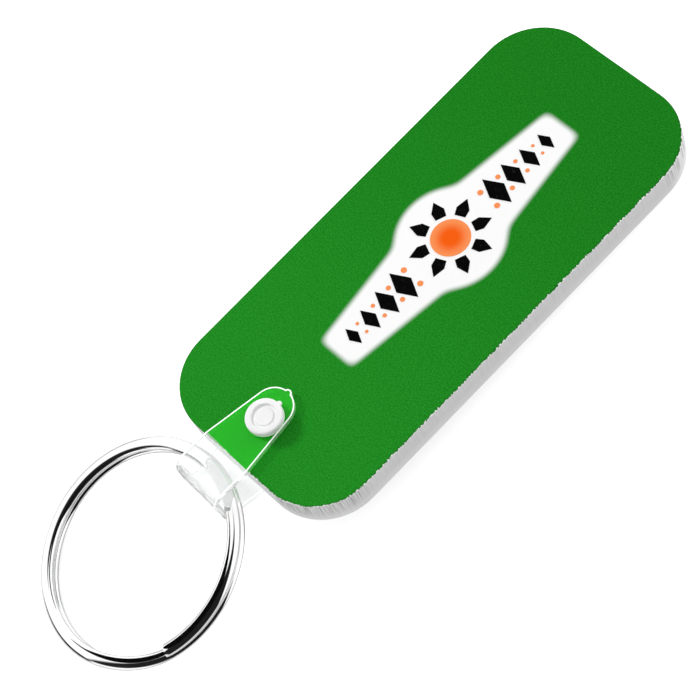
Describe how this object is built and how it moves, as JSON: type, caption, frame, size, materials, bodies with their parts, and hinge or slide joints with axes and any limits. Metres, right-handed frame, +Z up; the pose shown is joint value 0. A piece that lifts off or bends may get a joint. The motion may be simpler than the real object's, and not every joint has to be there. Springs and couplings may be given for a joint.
{
  "type": "soft vinyl keychain",
  "caption": "Soft vinyl key tag, a rounded rectangle with a green face, held to a nickel split ring by a folded clear strap with a white snap.",
  "frame": {"origin": "centre of the overall box on the surface that the keychain lies on", "axes": "+Y along the tag from its ring end to its far end, +X across the tag, +Z up from the surface"},
  "size_m": [0.038, 0.1144, 0.0124],
  "materials": {
    "printed_vinyl": "white soft vinyl, matt, with a finely grained green printed face",
    "clear_plastic": "clear and glossy, with frosted cut edges",
    "white_plastic": "satin white moulding",
    "nickel_plate": "bright nickel plate"
  },
  "bodies": {
    "tag": {"tag": "printed_vinyl"},
    "strap": {"strap": "clear_plastic", "snap_cap": "white_plastic", "snap_stud": "white_plastic"},
    "ring": {"split_ring": "nickel_plate"}
  },
  "joints": [
    {"name": "strap_swivel", "type": "hinge", "parent": "tag", "child": "strap", "pos_m": [0.00152, -0.01533, 0.00507], "axis": [0, 0.0701, 0.9975], "range_deg": [-8, 8]},
    {"name": "ring_swing", "type": "hinge", "parent": "strap", "child": "ring", "pos_m": [-0.00152, -0.02506, 0.00719], "axis": [-0.9994, 0.0348, -0.0024], "range_deg": [-5, 75]}
  ]
}
